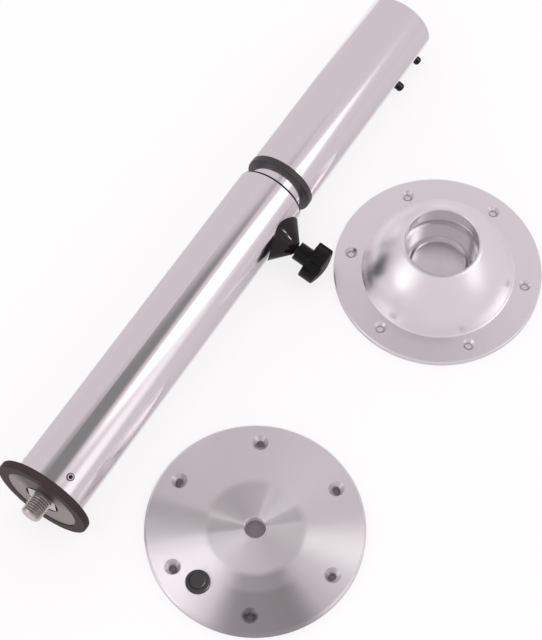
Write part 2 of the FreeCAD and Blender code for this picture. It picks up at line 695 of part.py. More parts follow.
def clamp_pad():
    """Round brake pad with a hollow face that the screw presses on the inner tube."""
    disc = cylinder("pad_disc", "pad_d/2", "pad_top")
    curve = cross_cylinder("pad_curve", "inner_r + pad_gap", "pad_d")
    pad = joined("Cut", "clamp_pad", disc, curve)
    bind(pad, "Placement", on_column("clamp_place", roll="clamp_angle"))
    keep(pad)


def clamp_screw():
    """Steel screw of the knob, from the pad to inside the head."""
    made = body("clamp_screw", on_column("clamp_place", roll="clamp_angle"))
    turned(made, "screw", [
        ("0", "pad_top"), ("screw_d/2 - screw_chamfer", "pad_top"),
        ("screw_d/2", "pad_top + screw_chamfer"), ("screw_d/2", "pad_top + screw_len"),
        ("0", "pad_top + screw_len")], axis="V_Axis")
    keep(made)


def knob_grip():
    """Moulded knob with lobes, domed front and a neck."""
    made = body("knob_grip", on_column("clamp_place", roll="clamp_angle"))
    bore = "screw_d/2 + slip"
    head_start = "neck_start + neck_len"
    head_end = head_start + " + head_len"
    dome_radius = "(head_d*head_d/4 + head_rise*head_rise)/(2*head_rise)"
    turned(made, "grip", [
        (bore, "neck_start"), ("neck_d/2", "neck_start"), ("neck_d/2", head_start),
        ("head_d/2", head_start), ("head_d/2", head_end, "-(%s)" % dome_radius),
        ("0", head_end + " + head_rise"), ("0", "pad_top + screw_len + slip"),
        (bore, "pad_top + screw_len + slip")], axis="V_Axis")
    eased(made, "head_edges", "head_round",
          [(head_start, "head_d/2"), (head_end, "head_d/2")], axis="z")
    before = made.Shape.Volume
    circle = sketch(made, "flute_circle", "XY_Plane")
    circle.AttachmentOffset = Placement(Vector(), Rotation(Vector(0, 0, 1), 1))
    bind(circle, "AttachmentOffset.Rotation.Angle", "180/lobe_count")
    bind(circle, "AttachmentOffset.Base.z", head_start + " - free_gap")
    ring_circle(circle, "flute_place", "flute_d/2")
    flute = made.newObject("PartDesign::Pocket", "flute")
    flute.Profile = circle
    flute.Type = "ThroughAll"
    flute.Reversed = True
    doc.recompute()
    polar(made, "flutes", flute, "lobe_count", "Z_Axis")
    removed(made, before)
    keep(made)


def lower_glider():
    """Plastic bush on the inner tube's lower end, which slides in the lower tube."""
    made = body("lower_glider", on_column())
    turned(made, "bush", [
        ("glider_start", "inner_r + running_gap"),
        ("glider_start + glider_len", "inner_r + running_gap"),
        ("glider_start + glider_len", "bore_r - running_gap"),
        ("glider_start", "bore_r - running_gap")])
    keep(made)


def inner_tube():
    """Telescopic tube, with a groove for each circlip."""
    made = body("inner_tube", on_column())
    bore = "inner_r - inner_wall"
    points = [("inner_start", bore), ("inner_start", "inner_r")]
    for start in ("first_clip", "second_clip"):
        points += [(start + " - slip", "inner_r"), (start + " - slip", "clip_floor"),
                   (start + " + clip_t + slip", "clip_floor"),
                   (start + " + clip_t + slip", "inner_r")]
    points += [("inner_end", "inner_r"), ("inner_end", bore)]
    turned(made, "tube", points)
    keep(made)


def glider_circlips():
    """Open spring rings that hold the glider on the inner tube."""
    rings = []
    for name in ("first_clip", "second_clip"):
        outside = cylinder(name + "_outside", "inner_r + clip_rim", "clip_t",
                           turn="360 - clip_opening")
        inside = cylinder(name + "_inside", "clip_floor + slip", "clip_t")
        ring = joined("Cut", name + "_ring", outside, inside)
        bind(ring, "Placement", on_column(name, UPRIGHT))
        rings.append(ring)
    group = doc.addObject("Part::Compound", "glider_circlips")
    group.Links = rings
    doc.recompute()
    keep(group)


def stage_collar():
    """Black flanged bush between the two stages. It closes the upper tube's lower end."""
    made = body("stage_collar", on_column())
    turned(made, "collar", [
        ("collar_start", "inner_r + slip"), ("collar_start", "tube_r"),
        ("upper_start", "tube_r"), ("upper_start", "bore_r - slip"),
        ("upper_start + collar_spigot_len", "bore_r - slip"),
        ("upper_start + collar_spigot_len", "inner_r + slip")])
    eased(made, "collar_edge", "collar_round", [("collar_start", "tube_r")])
    keep(made)


def spacer_sleeve():
    """Plastic sleeve that centres the inner tube's end in the upper tube."""
    made = body("spacer_sleeve", on_column())
    start = "inner_end - sleeve_back - sleeve_len"
    end = "inner_end - sleeve_back"
    turned(made, "sleeve", [(start, "inner_r + slip"), (start, "bore_r - slip"),
                            (end, "bore_r - slip"), (end, "inner_r + slip")])
    keep(made)


def upper_tube():
    """Upper tube, with holes for the lock stud and the release button."""
    made = body("upper_tube", on_column())
    turned(made, "tube", [("upper_start", "bore_r"), ("upper_end", "bore_r"),
                          ("upper_end", "tube_r"), ("upper_start", "tube_r")])
    before = made.Shape.Volume
    radial_hole(made, "lock_hole", "column_end - lock_back", "latch_angle",
                "lock_d/2 + free_gap")
    removed(made, before)
    before = made.Shape.Volume
    radial_hole(made, "button_hole", "column_end - button_back", "latch_angle",
                "button_d/2 + free_gap")
    removed(made, before)
    keep(made)


def top_end_plug():
    """Aluminium plug that closes the upper tube's top end."""
    made = body("top_end_plug", on_column())
    start = "upper_end - end_spigot_len"
    spigot_r = "bore_r - slip"
    turned(made, "plug", [
        ("upper_end", "0"), ("upper_end", spigot_r + " - end_spigot_wall"),
        (start, spigot_r + " - end_spigot_wall"), (start, spigot_r), ("upper_end", spigot_r),
        ("upper_end", "tube_r"), ("column_end", "tube_r"), ("column_end", "0")])
    eased(made, "plug_edge", "end_round", [("column_end", "tube_r")])
    keep(made)


def latch_spring():
    """Bent spring strip inside the upper tube. One leg carries the pins, the other bears on
    the far wall."""
    made = body("latch_spring", on_column(roll="latch_angle"))
    middle = "leaf_seat - leaf_t/2"
    tip = "column_end - leaf_tip_back"
    knee = tip + " - leaf_flat_len"
    bend = knee + " - leaf_bend_len"
    spine = sketch(made, "strip_path", "XZ_Plane")
    trace(spine, [(tip, middle), (knee, middle), (bend, "leaf_bend_half", "-leaf_bend_round"),
                  (bend, "-leaf_bend_half"), (knee, "-leaf_foot"),
                  (knee + " + leaf_foot_len", "-leaf_foot")], closed=False)
    section = sketch(made, "strip_section", "YZ_Plane")
    bind(section, "AttachmentOffset.Base.z", tip)
    trace(section, [("-leaf_w/2", "leaf_seat - leaf_t"), ("leaf_w/2", "leaf_seat - leaf_t"),
                    ("leaf_w/2", "leaf_seat"), ("-leaf_w/2", "leaf_seat")])
    strip = made.newObject("PartDesign::AdditivePipe", "strip")
    strip.Profile = section
    strip.Spine = spine
    strip.Transition = "Right corner"
    doc.recompute()
    keep(made)


def latch_pin(name, back, diameter, out, edge):
    """Pin with a flat head under the tube's wall and a rounded end outside it."""
    made = body(name, on_column("column_end - " + back, roll="latch_angle"))
    head_top = "leaf_seat + pin_head_t"
    end = "tube_r + " + out
    turned(made, "pin", [
        ("0", "leaf_seat"), ("pin_head_d/2", "leaf_seat"), ("pin_head_d/2", head_top),
        (diameter + "/2", head_top), (diameter + "/2", end), ("0", end)], axis="V_Axis")
    eased(made, "pin_end", edge, [(end, diameter + "/2")], axis="z")
    keep(made)


def lock_stud():
    latch_pin("lock_stud", "lock_back", "lock_d", "lock_out", "lock_round")


def release_button():
    latch_pin("release_button", "button_back", "button_d", "button_out", "button_round")


def check_and_export():
    """Stops on a failed object or a bad shape, and then writes one file for each sub-part."""
    doc.recompute()
    failed = [o.Name for o in doc.Objects if "Invalid" in o.State or "Error" in o.State]
    if failed:
        raise RuntimeError("failed: " + ", ".join(failed))
    for thing in sub_parts:
        if thing.Shape.isNull() or not thing.Shape.isValid() or not thing.Shape.Solids:
            raise RuntimeError(thing.Label + " has no valid shape")
    os.makedirs("parts", exist_ok=True)
    for thing in sub_parts:
        thing.Shape.exportStep("parts/%s.step" % thing.Label)
        box = thing.Shape.BoundBox
        print("%-16s %d solid %9.0f mm3  x %7.2f %7.2f  y %7.2f %7.2f  z %6.2f %6.2f" % (
            thing.Label, len(thing.Shape.Solids), thing.Shape.Volume,
            box.XMin, box.XMax, box.YMin, box.YMax, box.ZMin, box.ZMax))


write_sizes()
floor_plate()
hole_plug()
table_socket()
foot_ring()
lower_tube()
foot_plug()
threaded_stud()
stud_locknut()
foot_set_screws()
top_guide_bush()
clamp_boss()
threaded_bush()
clamp_pad()
clamp_screw()
knob_grip()
lower_glider()
inner_tube()
glider_circlips()
stage_collar()
spacer_sleeve()
upper_tube()
top_end_plug()
latch_spring()
lock_stud()
release_button()
check_and_export()
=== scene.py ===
# Telescopic table pedestal, taken apart: the polished column lies on its side, and the
# domed table socket and the turned floor plate lie flat beside it.
# Lengths are in metres and angles in degrees, unless a name says otherwise.
import json
import math

import bmesh
import bpy
from mathutils import Matrix, Vector


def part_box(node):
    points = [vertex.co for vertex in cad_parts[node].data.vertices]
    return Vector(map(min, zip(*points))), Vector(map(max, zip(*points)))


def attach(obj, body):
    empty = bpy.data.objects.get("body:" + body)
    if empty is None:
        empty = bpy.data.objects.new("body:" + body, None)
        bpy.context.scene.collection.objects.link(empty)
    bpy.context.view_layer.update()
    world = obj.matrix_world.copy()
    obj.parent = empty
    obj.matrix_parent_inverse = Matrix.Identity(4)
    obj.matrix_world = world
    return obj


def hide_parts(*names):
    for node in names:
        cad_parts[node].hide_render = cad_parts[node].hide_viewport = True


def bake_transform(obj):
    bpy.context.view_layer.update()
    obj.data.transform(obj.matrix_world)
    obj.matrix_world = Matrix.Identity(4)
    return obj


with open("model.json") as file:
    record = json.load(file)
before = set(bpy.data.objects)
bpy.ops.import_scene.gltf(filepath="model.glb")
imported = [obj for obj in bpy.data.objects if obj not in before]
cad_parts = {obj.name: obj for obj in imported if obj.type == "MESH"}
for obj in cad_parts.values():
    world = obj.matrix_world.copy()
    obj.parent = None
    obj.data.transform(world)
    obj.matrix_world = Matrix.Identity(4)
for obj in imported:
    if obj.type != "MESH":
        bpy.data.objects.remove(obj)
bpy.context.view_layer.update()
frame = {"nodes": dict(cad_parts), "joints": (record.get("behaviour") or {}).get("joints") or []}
JOINTS = {joint["name"]: joint for joint in frame["joints"]}

# Camera, from the discs' and the column's outlines in the photograph.
VIEW_AZIMUTH = -57.47
VIEW_ELEVATION = 63.59
VIEW_ROLL = 0.19
VIEW_DISTANCE = 1.4827
AIM_ALONG = 0.22986
AIM_OUT = -0.05106
FOCAL_PIXELS = 1886.9
PHOTO_HEIGHT = 640
SENSOR_MM = 36.0

# Column: a point on its axis at the foot ring's face, the axis towards its top end, and the
# way that is up across the axis.
COLUMN_FOOT = Vector(JOINTS["column_swivel"]["pos_m"])
COLUMN_AXIS = Vector(JOINTS["column_swivel"]["axis"]).normalized()
COLUMN_UP = Vector((-COLUMN_AXIS.z, 0, COLUMN_AXIS.x))

# Stud at the column's foot. Its parts outside and inside the foot have their own radius.
STUD_RADIUS = 0.008
STUD_SHANK = 0.007
STUD_OUT = 0.015
STUD_IN = 0.022
STUD_CHAMFER = 0.0015
STUD_PITCH = 0.002
# The thread's depth as a share of its pitch, and how steep and how cut off its V is.
THREAD_DEPTH = 0.55
THREAD_FLANK = 3.4
THREAD_CREST = 1.25

# Set screws: distance from the foot, angle of the first one round the column and their count. The
# painted highlight ring on each: where it begins and ends, each with its soft edge.
SET_SCREW_PLACE = 0.019
SET_SCREW_ANGLE = 31
SET_SCREWS = 3
HIGHLIGHT_RING_FROM = (0.0013, 0.0016)
HIGHLIGHT_RING_TO = (0.0022, 0.0026)

KNOB_EASE = 0.0007

# Discs. Screw holes: radius of their circle, angle of the first one, a countersink's radius and
# the tone of its painted shade. A painted fan, a dark painted reflection on the plate: its
# middle's angle, the angles from there where it is full and where it has faded out, the radius
# where it begins, or below zero the one where it ends, and its tone.
DISC_RADIUS = 0.0825
DISC_HOLES = 6
SINK_EDGE = (-0.0004, 0.0002)
PLATE_HOLES = (0.068, 29.6, 0.0062, 0.75)
SOCKET_HOLES = (0.07, -9.4, 0.005, 0.85)
PLATE_PAINTED_FANS = ((218, 14, 34, 0.037, 0.65), (217, 26, 46, 0.037, 0.86),
              (218, 14, 36, 0.05, 0.79), (118, 5, 17, 0.037, 0.78),
              (120, 4, 14, -0.036, 0.75), (321, 4, 14, -0.036, 0.72),
              (347, 8, 24, -0.036, 0.86), (58, 35, 48, -0.036, 0.84))
PAINTED_FAN_EDGE = 0.003
# The plate's middle hole: the radius within which its thread shows, and the pitch.
PLATE_THREAD = (0.0088, STUD_PITCH)
# The plate's two facing cuts: the radii where one passes into the other, and the lean that
# the outer one gives the light. The inner one leans the other way by a share of that.
CUT_EDGE = (0.034, 0.04)
PLATE_LEAN = 0.17
INNER_LEAN = -0.3
# The socket's bore: the radius and the height over the socket's middle within which it lies, the
# tone of the painted shade inside it, and how much smoother it is than the dome.
SOCKET_BORE = (0.0325, 0.0225, 0.8, 0.14)

# Grain of the finishes, as its count to a metre. It is 1.1 mm wide on bright steel, 1.4 mm
# on dark steel, 0.7 mm on rubber, 1.25 mm on acetal, 1.2 mm on satin nylon and 4 mm on glossy
# nylon. All but the last are finer in reality, and are drawn as coarse as they need to show.
BRIGHT_STEEL_GRAIN = 900.0
DARK_STEEL_GRAIN = 700.0
RUBBER_GRAIN = 1400.0
ACETAL_GRAIN = 800.0
SATIN_NYLON_GRAIN = 1 / 0.0012
GLOSS_NYLON_GRAIN = 1 / 0.004
# Draw lines of the tubes, 80 mm long and 0.6 mm apart, and feed marks of the lathe, 0.5 mm
# apart, both as their count to a metre.
DRAW_LINES = (12, 1600, 1600)
FEED_MARKS = 2000.0
# Depth of the reliefs: of grain, lines and marks, and of the plate's thread.
RELIEF_DEPTH = 0.0001
THREAD_RELIEF = 0.0003
# How far the roughness goes up and down over marks or grain, and the tone of the marks' dark
# side.
ROUGH_SWING = 0.05
MARKS_TONE = 0.97
# Angles from the foot plug's top where the foot ring's shade on it begins to go and has gone.
FOOT_SHADE = (30, 75)

# Room seen in metal. Its soft lights are far off and seen only in reflections: azimuth,
# elevation, the angles where each is full and where it has faded out, and its brightness.
# Less green gives them a faint pink cast.
ROOM_GREY = "#DAD2D7"
LIGHT_GREEN = 0.98
FAR_LIGHTS = ((278.5, 25, 8, 20, 1.15), (144.5, 25, 12, 28, 1.15), (147.4, 11, 5, 12, 1.9),
              (82, 68, 5, 16, 2.2))

# Studio cards: corners, anticlockwise, from the foot ring's middle, height, brightness, and
# the width of the soft edge from each corner to the next.
DARK_FLAG = ([(0.15, -0.55), (1.16, -0.28), (0.42, 0.98), (0.15, 0.98)], 1.2, 0.24,
             (0.18, 0.3, 0.2, 0.05))
SOFT_BOX = ([(0.2, -0.52), (0.95, -1.7), (1.33, -1.9), (1.33, -1.02), (0.72, -0.4),
             (0.2, -0.4)], 0.9, 1.9, (0.25, 0.1, 0.35, 0.06, 0.05, 0.36))
CARD_RIM = 0.02
CARD_LIGHT = (1, 0.985, 0.98, 1)

# Floor. Metal mirrors it by the weak share, but in full in a strip beside the column, between
# two places across it, and behind the column's upper end, past a slanting line.
FLOOR_SIDE = 6
FLOOR_MIRRORED = 0.3
STRIP_FRONT = (-0.046, -0.034)
STRIP_BACK = (0.055, 0.075)
BEHIND_FROM = (0.0, 0.03)
SLANT = 1.5
SLANT_FROM = (0.32, 0.38)
# What metal sees elsewhere, and what the camera sees: a weak matt surface that takes shadows,
# under a glow.
FLOOR_MATT = "#C8C0C5"
FLOOR_SHADED = (0.24, 0.22, 0.23, 1)
FLOOR_LIGHT = (1, 0.995, 1, 1)
# The glow's strength, and the share of it that is left under each disc, a painted shade so that
# the holes in the discs look dark. The glow ends between these distances within a disc's edge.
FLOOR_GLOW = 0.77
GLOW_UNDER = (("floor_plate", 0.0), ("table_socket", 0.5))
GLOW_EDGE = (0.002, 0.001)

# Spark: a sun on the moulded parts alone, by azimuth, elevation, angular size and strength.
SPARK = (290, 45, 20, 5.0)
# Glints on the boss, from small lamps close to it: name, shape, the lamp's azimuth and
# elevation from a point of the boss, that point, and the lamp's sides and power.
GLINT_DISTANCE = 0.05
GLINTS = (("strip_glint", "RECTANGLE", 295, 9.1, (0.036, 0.0616, 0.0419), 0.002, 0.003, 0.0006),
          ("round_glint", "DISK", 294.8, 8.5, (0.0356, 0.0575, 0.0372), 0.004, 0.004, 0.001))


def linear(code):
    """Linear colour from an sRGB hex code."""
    values = [int(code[i:i + 2], 16) / 255 for i in (1, 3, 5)]
    bent = [v / 12.92 if v <= 0.04045 else ((v + 0.055) / 1.055) ** 2.4 for v in values]
    return (*bent, 1.0)


def direction(azimuth, elevation=0.0):
    """Unit vector from two angles: round from x towards y, and up."""
    turn, rise = math.radians(azimuth), math.radians(elevation)
    return Vector((math.cos(turn) * math.cos(rise), math.sin(turn) * math.cos(rise),
                   math.sin(rise)))


def middle(node):
    """Middle of a CAD node's box."""
    low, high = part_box(node)
    return (Vector(low) + Vector(high)) / 2


def shown(name, data):
    """New object in the scene."""
    made = bpy.data.objects.new(name, data)
    bpy.context.scene.collection.objects.link(made)
    return made


# Nodes that several materials share

def connect(tree, node, inputs):
    """Sets inputs: to a plain value, another node's output, or a node's first output."""
    for name, source in inputs.items():
        if isinstance(source, bpy.types.Node):
            source = source.outputs[0]
        if isinstance(source, bpy.types.NodeSocket):
            tree.links.new(source, node.inputs[name])
        else:
            node.inputs[name].default_value = source


def add(tree, kind, inputs=None, **settings):
    """Adds a node with its settings and links."""
    node = tree.nodes.new(kind)
    for name, setting in settings.items():
        setattr(node, name, setting)
    connect(tree, node, inputs or {})
    return node


def new_material(name, base, metallic, roughness, gloss=0.5, anisotropy=0.0):
    """Material with one Principled shader, from its mean values. Patterns may be linked over
    them. Gives the material, its tree and the shader."""
    made = bpy.data.materials.new(name)
    made.use_nodes = True
    tree = made.node_tree
    shader = tree.nodes["Principled BSDF"]
    connect(tree, shader, {"Base Color": linear(base), "Metallic": metallic,
                           "Roughness": roughness, "Specular IOR Level": gloss,
                           "Anisotropic": anisotropy})
    return made, tree, shader


def bare_material(name):
    """Material without a shader yet. Gives the material and its tree."""
    made = bpy.data.materials.new(name)
    made.use_nodes = True
    made.node_tree.nodes.clear()
    return made, made.node_tree


def object_place(tree, centre, scale=(1, 1, 1)):
    """Object coordinates, centred on a point and scaled."""
    moved = add(tree, "ShaderNodeVectorMath",
                {0: add(tree, "ShaderNodeTexCoord").outputs["Object"], 1: tuple(centre)},
                operation="SUBTRACT")
    return add(tree, "ShaderNodeMapping", {"Vector": moved, "Scale": scale})


def flat_place(tree, place):
    """A place's part in the floor's plane, and its distance from the middle."""
    flat = add(tree, "ShaderNodeVectorMath", {0: place, 1: (1, 1, 0)}, operation="MULTIPLY")
    radius = add(tree, "ShaderNodeVectorMath", {0: flat}, operation="LENGTH")
    return flat, radius.outputs["Value"]


def slant_length(tree, first, second):
    """Length of the slanting side over two sides at a right angle."""
    squares = [add(tree, "ShaderNodeMath", {0: side, 1: side}, operation="MULTIPLY")
               for side in (first, second)]
    both = add(tree, "ShaderNodeMath", dict(enumerate(squares)), operation="ADD")
    return add(tree, "ShaderNodeMath", {0: both}, operation="SQRT")


def nearest_angle(tree, angle, first, count):
    """Angle from the nearest of some places spaced evenly round a circle."""
    half = math.pi / count
    turned = add(tree, "ShaderNodeMath", {0: angle, 1: math.radians(first)},
                 operation="SUBTRACT")
    return add(tree, "ShaderNodeMath", {0: turned, 1: half, 2: -half}, operation="WRAP")


def cone_share(tree, facing, way, full, faded):
    """One within the angle full of a direction, falling to nothing at the angle faded."""
    cosine = add(tree, "ShaderNodeVectorMath", {0: facing, 1: tuple(way)},
                 operation="DOT_PRODUCT").outputs["Value"]
    return add(tree, "ShaderNodeMapRange",
               {"Value": cosine, "From Min": math.cos(math.radians(faded)),
                "From Max": math.cos(math.radians(full))}, interpolation_type="SMOOTHSTEP")


def feed_marks(tree, radius):
    """Rings that the turning tool leaves, as coarse as they need to show."""
    along = add(tree, "ShaderNodeMath", {0: radius, 1: FEED_MARKS}, operation="MULTIPLY")
    return add(tree, "ShaderNodeTexNoise", {"W": along, "Scale": 1.0, "Detail": 2.0},
               noise_dimensions="1D")


def surface_grain(tree, shader, place, scale, rough, bump=0.0, detail=2.0):
    """Grain that varies the roughness between two values, and may stand out a little."""
    noise = add(tree, "ShaderNodeTexNoise", {"Vector": place, "Scale": scale, "Detail": detail})
    varied = add(tree, "ShaderNodeMapRange", {"Value": noise, "To Min": rough[0],
                                              "To Max": rough[1]})
    connect(tree, shader, {"Roughness": varied})
    if bump:
        raised = add(tree, "ShaderNodeBump", {"Height": noise, "Strength": bump,
                                              "Distance": RELIEF_DEPTH})
        connect(tree, shader, {"Normal": raised})


def column_points(tree):
    """Position along the column, distance from its axis, and angle round it from the top."""
    place = object_place(tree, COLUMN_FOOT)
    along, up, across = (add(tree, "ShaderNodeVectorMath", {0: place, 1: tuple(way)},
                             operation="DOT_PRODUCT").outputs["Value"]
                         for way in (COLUMN_AXIS, COLUMN_UP, (0, -1, 0)))
    angle = add(tree, "ShaderNodeMath", {0: across, 1: up}, operation="ARCTAN2")
    return along, slant_length(tree, up, across), angle


# Finishes

def polished_aluminium(name):
    """Drawn tube, buffed bright and clear anodised. It mirrors the room a little blurred,
    more across its length than along it, and shows faint draw lines."""
    made, tree, shader = new_material(name, "#EEE9EB", 1.0, 0.15)
    surface_grain(tree, shader, object_place(tree, COLUMN_FOOT, DRAW_LINES), 1.0,
                  rough=(0.11, 0.19), bump=0.06, detail=3.0)
    return made


def hole_distance(tree, flat, radius, circle, first):
    """Distance from the nearest of a disc's screw holes."""
    parts = add(tree, "ShaderNodeSeparateXYZ", {0: flat}).outputs
    angle = nearest_angle(tree, add(tree, "ShaderNodeMath", {0: parts["Y"], 1: parts["X"]},
                                    operation="ARCTAN2"), first, DISC_HOLES)
    outward, sideways = (
        add(tree, "ShaderNodeMath",
            {0: radius, 1: add(tree, "ShaderNodeMath", {0: angle}, operation=part)},
            operation="MULTIPLY") for part in ("COSINE", "SINE"))
    beyond = add(tree, "ShaderNodeMath", {0: outward, 1: circle}, operation="SUBTRACT")
    return slant_length(tree, beyond, sideways)


def painted_fan_tone(tree, outward, radius, azimuth, full, faded, inner, tone):
    """Tone of one painted fan on a turned face: a dark painted reflection."""
    within = cone_share(tree, outward, direction(azimuth), full, faded)
    low, high = (0, 1) if inner > 0 else (1, 0)
    here = add(tree, "ShaderNodeMapRange",
               {"Value": radius, "From Min": abs(inner) - PAINTED_FAN_EDGE,
                "From Max": abs(inner) + PAINTED_FAN_EDGE, "To Min": low, "To Max": high},
               interpolation_type="SMOOTHSTEP")
    share = add(tree, "ShaderNodeMath", {0: within, 1: here}, operation="MULTIPLY")
    return add(tree, "ShaderNodeMapRange", {"Value": share, "To Min": 1.0, "To Max": tone})


def thread_relief(tree, radius, height, normal, within, pitch):
    """The middle hole's thread, as ridges on its wall."""
    turns = add(tree, "ShaderNodeMath", {0: height, 1: 2 * math.pi / pitch},
                operation="MULTIPLY")
    ridges = add(tree, "ShaderNodeMath", {0: turns}, operation="SINE")
    in_hole = add(tree, "ShaderNodeMath", {0: radius, 1: within}, operation="LESS_THAN")
    kept = add(tree, "ShaderNodeMath", {0: ridges, 1: in_hole}, operation="MULTIPLY")
    return add(tree, "ShaderNodeBump", {"Height": kept, "Strength": 1.0,
                                        "Distance": THREAD_RELIEF, "Normal": normal})


def leaning_cuts(tree, outward, radius, normal, lean):
    """The outer part was faced in a cut of its own, so it sends the light another way."""
    tilt = add(tree, "ShaderNodeMapRange",
               {"Value": radius, "From Min": CUT_EDGE[0], "From Max": CUT_EDGE[1],
                "To Min": INNER_LEAN * lean, "To Max": lean}, interpolation_type="SMOOTHSTEP")
    aside = add(tree, "ShaderNodeVectorMath", {0: outward, "Scale": tilt}, operation="SCALE")
    tipped = add(tree, "ShaderNodeVectorMath", {0: normal, 1: aside})
    return add(tree, "ShaderNodeVectorMath", {0: tipped}, operation="NORMALIZE")


def turned_aluminium(name, centre, roughness, anisotropy, holes, lean=0.0, fans=(), bore=None,
                     thread=None):
    """Disc faced on a lathe. Its fine rings spread each reflection along the radius, so the
    room's lights open into fans. Dark fans are painted into its colour too, as painted
    reflections, and the countersinks and bore are painted darker than the faces, as painted
    shade."""
    base = "#FAF6F8"
    made, tree, shader = new_material(name, base, 1.0, roughness, anisotropy=anisotropy)
    place = object_place(tree, centre)
    height = add(tree, "ShaderNodeSeparateXYZ", {0: place}).outputs["Z"]
    flat, radius = flat_place(tree, place)
    outward = add(tree, "ShaderNodeVectorMath", {0: flat}, operation="NORMALIZE")
    marks = feed_marks(tree, radius)
    rough = add(tree, "ShaderNodeMapRange", {"Value": marks, "To Min": roughness - ROUGH_SWING,
                                             "To Max": roughness + ROUGH_SWING})
    normal = add(tree, "ShaderNodeBump", {"Height": marks, "Strength": 0.1,
                                          "Distance": RELIEF_DEPTH})
    if thread:
        normal = thread_relief(tree, radius, height, normal, *thread)
    if lean:
        normal = leaning_cuts(tree, outward, radius, normal, lean)
    # Painted reflections: dark fans multiplied into the base colour.
    tones = [painted_fan_tone(tree, outward, radius, *each) for each in fans]
    # Painted shade: the countersinks' base colour is made darker.
    circle, first, sink, sink_painted_shade = holes
    tones.append(add(tree, "ShaderNodeMapRange",
                     {"Value": hole_distance(tree, flat, radius, circle, first),
                      "From Min": sink + SINK_EDGE[0], "From Max": sink + SINK_EDGE[1],
                      "To Min": sink_painted_shade, "To Max": 1.0}))
    # Painted shade: the bore's base colour is made darker inside it, and its finish smoother.
    if bore:
        bore_radius, top, bore_painted_shade, smoother = bore
        limits = [add(tree, "ShaderNodeMath", {0: value, 1: limit}, operation="LESS_THAN")
                  for value, limit in ((radius, bore_radius), (height, top))]
        inside = add(tree, "ShaderNodeMath", dict(enumerate(limits)), operation="MULTIPLY")
        tones.append(add(tree, "ShaderNodeMapRange", {"Value": inside, "To Min": 1.0,
                                                      "To Max": bore_painted_shade}))
        less = add(tree, "ShaderNodeMath", {0: inside, 1: smoother}, operation="MULTIPLY")
        rough = add(tree, "ShaderNodeMath", {0: rough, 1: less}, operation="SUBTRACT")
    tone = add(tree, "ShaderNodeMapRange", {"Value": marks, "To Min": MARKS_TONE, "To Max": 1.0})
    for each in tones:
        tone = add(tree, "ShaderNodeMath", {0: tone, 1: each}, operation="MULTIPLY")
    tinted = add(tree, "ShaderNodeVectorMath", {0: linear(base)[:3], "Scale": tone},
                 operation="SCALE")
    connect(tree, shader, {"Base Color": tinted, "Roughness": rough, "Normal": normal,
                           "Tangent": outward})
    return made


def bright_steel(name):
    """Turned steel, zinc plated: light grey with a warm cast, and cloudy in its gloss."""
    made, tree, shader = new_material(name, "#BDB6B4", 1.0, 0.3)
    surface_grain(tree, shader, object_place(tree, COLUMN_FOOT), BRIGHT_STEEL_GRAIN,
                  rough=(0.2, 0.42), detail=3.0)
    return made


def set_screw_steel(name):
    """Black oxide steel, dark on the screw's rim and in its socket, where the dark is partly
    painted shade, with a painted highlight ring between.
    """
    made, tree, shader = new_material(name, "#3A3535", 1.0, 0.3)
    along, radius, angle = column_points(tree)
    nearest = nearest_angle(tree, angle, SET_SCREW_ANGLE, SET_SCREWS)
    across = add(tree, "ShaderNodeMath",
                 {0: radius, 1: add(tree, "ShaderNodeMath", {0: nearest}, operation="SINE")},
                 operation="MULTIPLY")
    beside = add(tree, "ShaderNodeMath", {0: along, 1: SET_SCREW_PLACE}, operation="SUBTRACT")
    away = slant_length(tree, beside, across)
    begun = add(tree, "ShaderNodeMapRange", {"Value": away, "From Min": HIGHLIGHT_RING_FROM[0],
                                             "From Max": HIGHLIGHT_RING_FROM[1]})
    left = add(tree, "ShaderNodeMapRange", {"Value": away, "From Min": HIGHLIGHT_RING_TO[0],
                                            "From Max": HIGHLIGHT_RING_TO[1], "To Min": 1,
                                            "To Max": 0})
    # The bright ring is a painted highlight; the dark on either side is black oxide, in the
    # socket partly painted shade.
    ring = add(tree, "ShaderNodeMath", {0: begun, 1: left}, operation="MULTIPLY")
    painted_ring = add(tree, "ShaderNodeMix", {"Factor": ring, 6: linear("#1A1616"),
                                       7: linear("#C9C2C0")}, data_type="RGBA")
    connect(tree, shader, {"Base Color": painted_ring.outputs[2]})
    return made


def foot_face(name):
    """The foot plug's turned face, dull and brownish, dark where the ring shades it."""
    made, tree, shader = new_material(name, "#8E8484", 1.0, 0.45)
    _, radius, angle = column_points(tree)
    rough = add(tree, "ShaderNodeMapRange", {"Value": feed_marks(tree, radius), "To Min": 0.4,
                                             "To Max": 0.5})
    from_top = add(tree, "ShaderNodeMath", {0: angle}, operation="ABSOLUTE")
    lit = add(tree, "ShaderNodeMapRange",
              {"Value": from_top, "From Min": math.radians(FOOT_SHADE[0]),
               "From Max": math.radians(FOOT_SHADE[1])}, interpolation_type="SMOOTHSTEP")
    tone = add(tree, "ShaderNodeMix", {"Factor": lit, 6: linear("#574E4E"),
                                       7: linear("#948988")}, data_type="RGBA")
    connect(tree, shader, {"Base Color": tone.outputs[2], "Roughness": rough})
    return made


def dark_steel(name):
    """Black oxide steel. Nearly black, with a dull metal sheen on its edges."""
    made, tree, shader = new_material(name, "#3A3535", 1.0, 0.35)
    surface_grain(tree, shader, object_place(tree, COLUMN_FOOT), DARK_STEEL_GRAIN,
                  rough=(0.28, 0.45))
    return made


def black_rubber(name, base, gloss):
    """Moulded rubber: brown-black and satin, with a fine matt grain."""
    made, tree, shader = new_material(name, base, 0.0, 0.38, gloss)
    surface_grain(tree, shader, object_place(tree, COLUMN_FOOT), RUBBER_GRAIN,
                  rough=(0.3, 0.5), bump=0.1)
    return made


